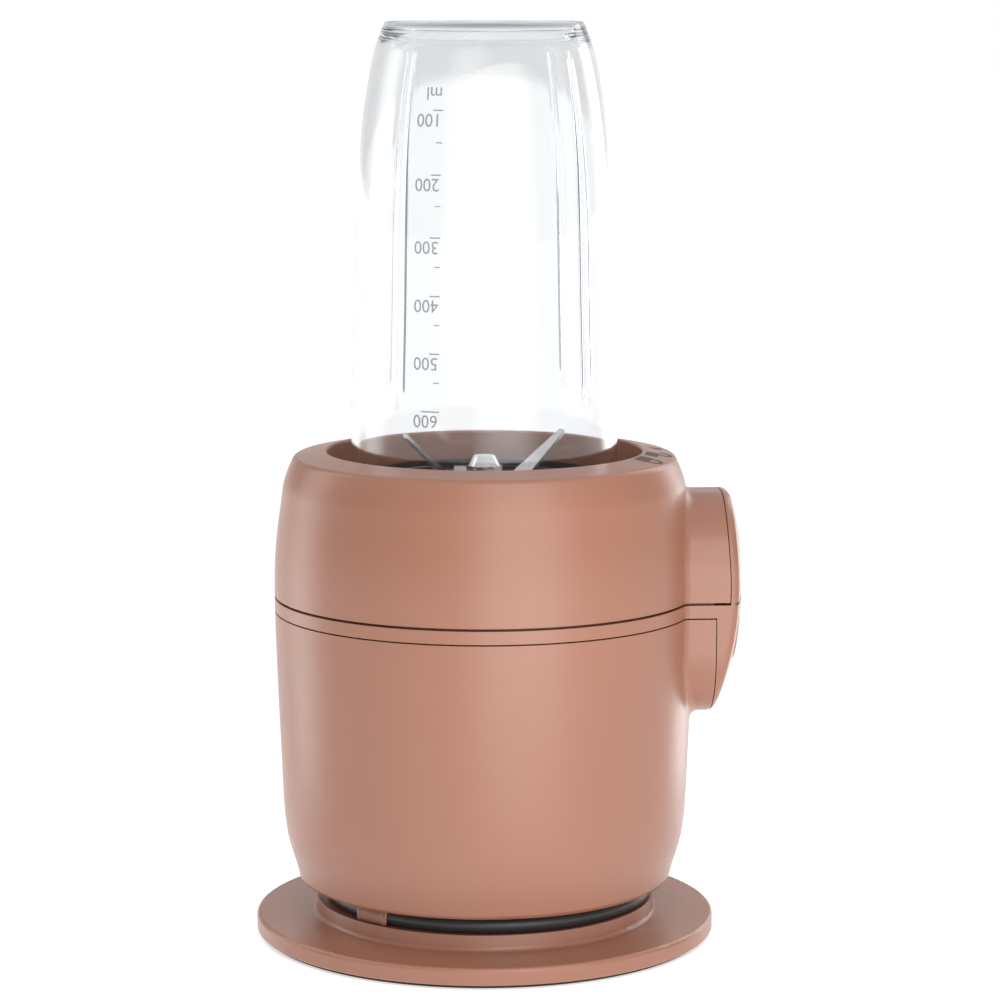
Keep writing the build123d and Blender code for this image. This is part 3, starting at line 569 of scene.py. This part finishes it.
def flute_fold(angle, z, radius, half_width):
    """How far the wall folds inward at a place on it. The flutes narrow and end towards the closed end."""
    nearest = min(abs((angle - f + math.pi) % math.tau - math.pi) for f in FLUTES)
    off = nearest * radius / (half_width * (1 - 0.6 * smooth_step(235, 303, z)))
    if off >= 1:
        return 0.0
    shallower = 1 - 0.5 * smooth_step(255, 292, z)
    ends = smooth_step(183, 191, z) * (1 - smooth_step(291, 304, z))
    return FLUTE_DEPTH * shallower * ends * math.cos(off * math.pi / 2) ** 2


def thread_swell(angle, z):
    """How far the two turns of rounded thread near the mouth stand out."""
    swell = 0.0
    for start in THREAD_STARTS:
        off = abs(z - start - THREAD_PITCH * ((angle / math.tau) % 1.0)) / THREAD_HALF
        if off < 1:
            swell = max(swell, THREAD_HEIGHT * math.cos(off * math.pi / 2))
    return swell


# directions of the cup's columns: close together across the flutes, wider apart between them
FLUTE_STEP = math.radians(0.42)
FLUTE_STEPS = 14
PLAIN_STEPS = 29

flute_side = FLUTE_STEP * FLUTE_STEPS
plain_step = (math.pi / 2 - 2 * flute_side) / PLAIN_STEPS
angles = []
for flute in FLUTES:
    angles += [flute + FLUTE_STEP * k for k in range(-FLUTE_STEPS, FLUTE_STEPS + 1)]
    angles += [flute + flute_side + plain_step * k for k in range(1, PLAIN_STEPS)]
angles = sorted(a % math.tau for a in angles)


def spaced(low, high, step):
    """Evenly spaced values from low to high, about a step apart."""
    count = max(1, round((high - low) / step))
    return [low + (high - low) * k / count for k in range(count + 1)]


def cup_ring(z, radius_at):
    """Ring of points at a height, with the radius as a function of the angle."""
    return [Vector((radius_at(a) * math.cos(a), radius_at(a) * math.sin(a), z)) * MM for a in angles]


def outer_ring(z):
    """Ring of the cup's outer wall."""
    radius = cup_radius(max(z, SIDE_START))
    radius -= MOUTH_BEVEL if z == CUP_MOUTH else 0.12 if z < SIDE_START else 0

    def radius_at(a):
        folded = radius - flute_fold(a, z, radius, FLUTE_HALF_OUTSIDE)
        return min(folded + thread_swell(a, z), cup_high.x / MM)

    return cup_ring(z, radius_at)


def inner_ring(z):
    """Ring of the cup's inner wall."""
    radius = cup_radius(z) - CUP_WALL
    return cup_ring(z, lambda a: radius - flute_fold(a, z, radius, FLUTE_HALF_INSIDE))


flute_foot_heights = spaced(181, 195, 1)
outer_heights = [CUP_MOUTH, 145.15, *spaced(145.5, 158, 0.45), *spaced(160, 180, 4), *flute_foot_heights]
outer_heights += [*spaced(198, 300, 3.0), 302.5, 304.5, 306, 307.2, 308.2, ROUNDING_START]
inner_heights = [*spaced(146, 180, 4), *flute_foot_heights, *spaced(198, 303, 3.0)]

edge = cup_radius(ROUNDING_START)
recess_floor = CUP_TOP - RECESS_DEPTH
rounded_end = (
    (edge - 0.18, 309.45), (edge - 0.5, 309.9), (edge - 0.95, 310.2), (edge - 1.45, CUP_TOP),
    (RECESS_RADIUS + 0.9, CUP_TOP), (RECESS_RADIUS + 0.45, CUP_TOP - 0.12),
    (RECESS_RADIUS + 0.15, CUP_TOP - 0.45), (RECESS_RADIUS, CUP_TOP - 0.85),
    (RECESS_RADIUS - 0.35, recess_floor), (RECESS_RADIUS - 3, recess_floor), (20, recess_floor),
    (10, recess_floor), (3, recess_floor), (1.2, recess_floor - 0.05),
)
inner_top = CUP_TOP - END_THICK
inner_edge = cup_radius(inner_top) - CUP_WALL
inner_end = (
    (1.2, inner_top), (10, inner_top), (20, inner_top), (inner_edge - 4.2, inner_top),
    (inner_edge - 2.6, inner_top - 0.15), (inner_edge - 1.4, inner_top - 0.6),
    (inner_edge - 0.5, inner_top - 1.5),
)

cup_rows = [outer_ring(z) for z in outer_heights]
cup_rows += [cup_ring(z, lambda a: r) for r, z in rounded_end]
top_ring = len(cup_rows)
cup_rows += [cup_ring(z, lambda a: r) for r, z in inner_end]
cup_rows += [inner_ring(z) for z in reversed(inner_heights)]
mouth_radius = cup_radius(SIDE_START) - CUP_WALL + MOUTH_BEVEL
cup_rows.append(cup_ring(CUP_MOUTH, lambda a: mouth_radius))

cup_mesh = grid_mesh("cup_shell", cup_rows, closed_rows=True)
# the faces between the recess and the inside of the end give way to a flat middle on each side
work = bmesh.new()
work.from_mesh(cup_mesh)
width = len(angles)
between = [f for f in work.faces if {v.index // width for v in f.verts} == {top_ring - 1, top_ring}]
bmesh.ops.delete(work, geom=between, context="FACES_ONLY")
bmesh.ops.holes_fill(work, edges=[e for e in work.edges if e.is_boundary], sides=0)
bmesh.ops.recalc_face_normals(work, faces=work.faces)
work.to_mesh(cup_mesh)
work.free()
shade_smooth(cup_mesh)
cup = link("clear_cup", cup_mesh)
dress(cup, looks["clear_plastic"])
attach(cup, "cup")
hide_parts("cup")


# ---- printed marks ------------------------------------------------------------------------------
CAPITAL_SHARE = 0.7
PRINT_THICK = 0.05 * MM
PRINT_LIFT = 0.02 * MM
PRINT_CUT = 0.9 * MM


def flat_text(text, height):
    """Points and faces of one word, laid flat from its left edge, with the given height of a capital."""
    data = bpy.data.curves.new("word", "FONT")
    data.body = text
    data.size = height / CAPITAL_SHARE
    data.resolution_u = 4
    holder = link("word", data)
    bpy.context.view_layer.update()
    mesh = bpy.data.meshes.new_from_object(holder)
    bpy.data.objects.remove(holder)
    bpy.data.curves.remove(data)
    points = [v.co.copy() for v in mesh.vertices]
    faces = [tuple(f.vertices) for f in mesh.polygons]
    bpy.data.meshes.remove(mesh)
    return points, faces


def bar(x0, y0, x1, y1, across=10):
    """Flat strip from one corner to the other, in columns, so that it can follow a curve."""
    points = []
    for k in range(across + 1):
        x = x0 + (x1 - x0) * k / across
        points += [Vector((x, y0, 0)), Vector((x, y1, 0))]
    faces = [(2 * k, 2 * k + 2, 2 * k + 3, 2 * k + 1) for k in range(across)]
    return points, faces


class Print:
    """Collects flat artwork and bends it on to a surface as one thin printed skin."""

    def __init__(self):
        self.points, self.faces = [], []

    def put(self, art, x=0.0, y=0.0, turn=0.0):
        """Adds artwork, turned and then moved to a place."""
        points, faces = art
        spin = Matrix.Rotation(turn, 3, "Z")
        start = len(self.points)
        self.points += [spin @ p + Vector((x, y, 0)) for p in points]
        self.faces += [tuple(start + i for i in f) for f in faces]

    def skin(self, name, place):
        """Mesh of the artwork, with place(x, y) giving each point and its outward normal."""
        mesh = bpy.data.meshes.new(name)
        mesh.from_pydata([tuple(p) for p in self.points], [], self.faces)
        work = bmesh.new()
        work.from_mesh(mesh)
        bmesh.ops.remove_doubles(work, verts=work.verts, dist=1e-7)
        for _ in range(3):
            long_edges = [e for e in work.edges if e.calc_length() > PRINT_CUT]
            if not long_edges:
                break
            bmesh.ops.subdivide_edges(work, edges=long_edges, cuts=1)
        bmesh.ops.triangulate(work, faces=[f for f in work.faces if len(f.verts) > 4])
        under = set(work.verts)
        bmesh.ops.extrude_face_region(work, geom=list(work.faces))
        for v in work.verts:
            seat, normal = place(v.co.x, v.co.y)
            v.co = seat if v in under else seat + normal * PRINT_THICK
        bmesh.ops.recalc_face_normals(work, faces=work.faces)
        work.to_mesh(mesh)
        work.free()
        return mesh


# volume scale, read with the cup the other way up
MARK_ANGLE = math.radians(-112.5)
MARK_HEIGHTS = ((100, 281.8), (200, 261.0), (300, 240.7), (400, 221.7), (500, 202.9), (600, 184.0))
LETTER = 4.2 * MM
LETTER_GAP = 0.4 * MM
LETTER_DROP = 1.2
UNIT_RISE = 7.4
TICK_LENGTH = 3.6
LAST_TICK_LENGTH = 6.4
TICK_HALF = 0.22
SMALL_TICK_LENGTH = 2.0
SMALL_TICK_HALF = 0.18


def on_cup(x, y):
    """Place on the cup's outer wall: x metres round from the scale's line, y the height."""
    z = y / MM
    r = cup_radius(z)
    slope = cup_radius(z + 0.5) - cup_radius(z - 0.5)
    a = MARK_ANGLE + x / (r * MM)
    normal = Vector((math.cos(a), math.sin(a), -slope)).normalized()
    seat = Vector((r * math.cos(a), r * math.sin(a), z)) * MM
    return seat + normal * PRINT_LIFT, normal


def tick(length, z, half):
    """Line of the scale at a height, ending on the scale's own line."""
    return bar(-length * MM, (z - half) * MM, 0, (z + half) * MM)


scale = Print()
for number, z in MARK_HEIGHTS:
    scale.put(tick(LAST_TICK_LENGTH if number == 600 else TICK_LENGTH, z, TICK_HALF))
    scale.put(flat_text(str(number), LETTER), -LETTER_GAP, (z - LETTER_DROP) * MM, math.pi)
for (_, low), (_, high) in zip(MARK_HEIGHTS[1:], MARK_HEIGHTS[:-1]):
    scale.put(tick(SMALL_TICK_LENGTH, (low + high) / 2, SMALL_TICK_HALF))
scale.put(flat_text("ml", LETTER), -LETTER_GAP, (MARK_HEIGHTS[0][1] + UNIT_RISE) * MM, math.pi)
scale_print = link("volume_scale", scale.skin("volume_scale", on_cup))
dress(scale_print, looks["scale_print"])
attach(scale_print, "cup")


CAST_FROM = 0.2


def surface_under(node, direction):
    """Ray caster on a CAD node's mesh: place just off it, and normal, where a ray first meets it."""
    source = nodes[node]
    tree = BVHTree.FromPolygons(
        [v.co for v in source.data.vertices], [tuple(f.vertices) for f in source.data.polygons]
    )
    reach = Vector(direction).normalized()

    def cast(point):
        hit, normal, _, _ = tree.ray_cast(Vector(point) - reach * CAST_FROM, reach)
        if normal.dot(reach) > 0:
            normal = -normal
        return hit + normal * PRINT_LIFT, normal

    return cast


# lock marks on the collar: closed padlock, open padlock and a pointer, laid round the opening
COLLAR_RADIUS = 58.9 * MM
collar_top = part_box("upper_housing")[1].z
down_on_collar = surface_under("upper_housing", (0, 0, -1))


def on_collar(x, y):
    """Place on the collar's top: x metres round it, y outward from its middle line."""
    a = x / COLLAR_RADIUS
    r = COLLAR_RADIUS + y
    return down_on_collar((r * math.cos(a), r * math.sin(a), collar_top))


def outline(points):
    """Flat shape inside a ring of points, as a fan from its middle."""
    centre = sum(points, Vector()) / len(points)
    all_points = [centre, *points]
    count = len(points)
    return all_points, [(0, 1 + k, 1 + (k + 1) % count) for k in range(count)]


def rounded_box(width, height, corner, steps=5):
    """Flat rectangle with round corners."""
    points = []
    for cx, cy, start in (
        (width / 2 - corner, height / 2 - corner, 0), (-width / 2 + corner, height / 2 - corner, 90),
        (-width / 2 + corner, -height / 2 + corner, 180), (width / 2 - corner, -height / 2 + corner, 270),
    ):
        for k in range(steps + 1):
            a = math.radians(start + 90 * k / steps)
            points.append(Vector((cx + corner * math.cos(a), cy + corner * math.sin(a), 0)))
    return outline(points)


def arch(radius, thick, legs, steps=14):
    """Shackle: a half ring with straight legs below it."""
    inner, outer = radius - thick / 2, radius + thick / 2
    half_ring = [(180 * k / steps, 0) for k in range(steps + 1)]
    points = []
    for angle, drop in ((0, -legs), *half_ring, (180, -legs)):
        c, s = math.cos(math.radians(angle)), math.sin(math.radians(angle))
        points += [Vector((inner * c, inner * s + drop, 0)), Vector((outer * c, outer * s + drop, 0))]
    return points, [(2 * k, 2 * k + 1, 2 * k + 3, 2 * k + 2) for k in range(len(points) // 2 - 1)]


LOCK_WIDTH = 8.4 * MM
LOCK_HEIGHT = 4.4 * MM
LOCK_CORNER = 0.9 * MM
LOCK_MIDDLE = -1.6 * MM
SHACKLE_RADIUS = 2.6 * MM
SHACKLE_THICK = 1.3 * MM
SHACKLE_LEGS = 1.0 * MM
SHACKLE_MIDDLE = 1.7 * MM
SHACKLE_SWING = 3.9 * MM
POINTER_HALF = 2.6 * MM
POINTER_BASE = -2.2 * MM
POINTER_TIP = 2.4 * MM


def round_collar(degrees):
    """Way round the collar's middle line to a direction."""
    return math.radians(degrees) * COLLAR_RADIUS


def padlock(degrees, swing):
    """Padlock on the collar with its shackle outward. swing moves the shackle aside, which opens it."""
    x = round_collar(degrees)
    marks.put(rounded_box(LOCK_WIDTH, LOCK_HEIGHT, LOCK_CORNER), x, LOCK_MIDDLE)
    marks.put(arch(SHACKLE_RADIUS, SHACKLE_THICK, SHACKLE_LEGS), x + swing, SHACKLE_MIDDLE)


marks = Print()
padlock(-25, 0)
padlock(-12.5, SHACKLE_SWING)
pointer = [
    Vector((-POINTER_HALF, POINTER_BASE, 0)),
    Vector((POINTER_HALF, POINTER_BASE, 0)),
    Vector((0, POINTER_TIP, 0)),
]
marks.put(outline(pointer), round_collar(5), 0, math.pi)
lock_marks = link("lock_marks", marks.skin("lock_marks", on_collar))
dress(lock_marks, looks["print_grey"])
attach(lock_marks, "base")

# pointer lines: one on the dial's dome, one beside it on the bezel, in line at rest
dial_low, dial_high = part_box("speed_dial")
DIAL_HEIGHT = (dial_low.z + dial_high.z) / 2
DIAL_RADIUS = (dial_high.z - dial_low.z) / 2
BEZEL_EDGE = 27.8 * MM
LINE_START = 10 * MM
LINE_HALF = 0.4 * MM
LINE_GAP = 0.9 * MM
LINE_COLUMNS = 30


def pointer_line(name, node, body, inner, outer):
    """Printed line on the face of a node, on the user's side of the dial's axis, from inner to outer."""
    onto_face = surface_under(node, (-1, 0, 0))

    line = Print()
    line.put(bar(inner, -LINE_HALF, outer, LINE_HALF, LINE_COLUMNS))
    made = link(name, line.skin(name, lambda x, y: onto_face((dial_high.x, -x, DIAL_HEIGHT + y))))
    dress(made, looks["print_grey"])
    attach(made, body)


pointer_line("dial_line", "speed_dial", "dial", LINE_START, DIAL_RADIUS - LINE_GAP)
pointer_line("bezel_line", "trim_band", "base", DIAL_RADIUS + LINE_GAP, BEZEL_EDGE)

# ---- materials on the CAD nodes -------------------------------------------------------------------
for entry in frame["record"]["subparts"]:
    dress(nodes[entry["node"]], looks[entry["material_slot"]])

# ---- floor and light ------------------------------------------------------------------------------
FLOOR_HALF = 14
FLOOR_DROP = 0.2 * MM
FLOOR_GLOW = 0.51

floor_corners = [(x * FLOOR_HALF, y * FLOOR_HALF, 0) for x, y in ((-1, -1), (1, -1), (1, 1), (-1, 1))]
floor_mesh = bpy.data.meshes.new("floor")
floor_mesh.from_pydata(floor_corners, [], [(0, 1, 2, 3)])
floor = link("floor", floor_mesh)
floor.location.z = -FLOOR_DROP
floor_look = surface("studio floor", (0.86, 0.86, 0.86), 0.75, 0.04, 0.01, 3, 80, 0.05, specular=0.15)
floor_shader = floor_look.node_tree.nodes["Principled BSDF"]
floor_shader.inputs["Emission Color"].default_value = (1, 1, 1, 1)
floor_shader.inputs["Emission Strength"].default_value = FLOOR_GLOW
dress(floor, floor_look)

world = bpy.data.worlds.new("studio")
world.use_nodes = True
scene.world = world
sky = world.node_tree
sky_way = sky.nodes.new("ShaderNodeTexCoord").outputs["Generated"]
AMBIENT = 0.28
BACKDROP = 1.0


def soft_light(azimuth, elevation, core, edge, strength):
    """Round patch of light in the studio, full inside core degrees and gone at edge degrees.
    Azimuth 0 is behind the user and 90 on the dial's side."""
    a, e = math.radians(azimuth), math.radians(elevation)
    dot = sky.nodes.new("ShaderNodeVectorMath")
    dot.operation = "DOT_PRODUCT"
    dot.inputs[1].default_value = (math.sin(a) * math.cos(e), -math.cos(a) * math.cos(e), math.sin(e))
    sky.links.new(sky_way, dot.inputs[0])
    fade = node_of(sky, "ShaderNodeMapRange")
    fade.interpolation_type = "SMOOTHSTEP"
    fade.inputs["From Min"].default_value = math.cos(math.radians(edge))
    fade.inputs["From Max"].default_value = math.cos(math.radians(core))
    fade.inputs["To Min"].default_value = 0
    fade.inputs["To Max"].default_value = strength
    sky.links.new(dot.outputs["Value"], fade.inputs["Value"])
    return fade.outputs["Result"]


studio_light = AMBIENT
for patch in (soft_light(180, 0, 12, 38, 0.5), soft_light(0, 90, 20, 78, 0.58)):
    studio_light = math_of(sky, "ADD", patch, studio_light)
# the backdrop is plain white to the camera and through the clear cup
path = sky.nodes.new("ShaderNodeLightPath")
looks_on = math_of(sky, "ADD", path.outputs["Is Camera Ray"], path.outputs["Transmission Depth"])
seen = sky.nodes.new("ShaderNodeMix")
seen.inputs["B"].default_value = BACKDROP
sky.links.new(math_of(sky, "MINIMUM", looks_on, 1), seen.inputs["Factor"])
sky.links.new(studio_light, seen.inputs["A"])
background = sky.nodes["Background"]
background.inputs["Color"].default_value = (1, 1, 1, 1)
sky.links.new(seen.outputs["Result"], background.inputs["Strength"])


SOFT_SHARES = (1.35, 1.12, 0.88, 0.65)
PANEL_GAP = 0.4 * MM


def softbox(name, azimuth, distance, width, low, high, radiance):
    """Upright softbox facing the object's axis, from low to high above the floor. It is built of nested
    panels, which soften its edges. The camera doesn't see it: it only lights and shows in the gloss."""
    a = math.radians(azimuth)
    for step, share in enumerate(SOFT_SHARES):
        data = bpy.data.lights.new(name, "AREA")
        data.shape = "RECTANGLE"
        data.size = width * share
        data.size_y = high - low
        data.energy = radiance / len(SOFT_SHARES) * math.pi * data.size * data.size_y
        lamp = link(name, data)
        reach = distance + step * PANEL_GAP
        lamp.location = (math.sin(a) * reach, -math.cos(a) * reach, (low + high) / 2)
        inward = Vector((-lamp.location.x, -lamp.location.y, 0))
        lamp.rotation_euler = inward.to_track_quat("-Z", "Y").to_euler()
        lamp.visible_camera = False


softbox("key softbox", 15, 0.32, 0.25, 0.003, 0.42, 2.05)
softbox("left strip", -106, 0.25, 0.10, 0.003, 0.38, 1.7)
softbox("right strip", 124, 0.24, 0.085, 0.003, 0.38, 2.2)
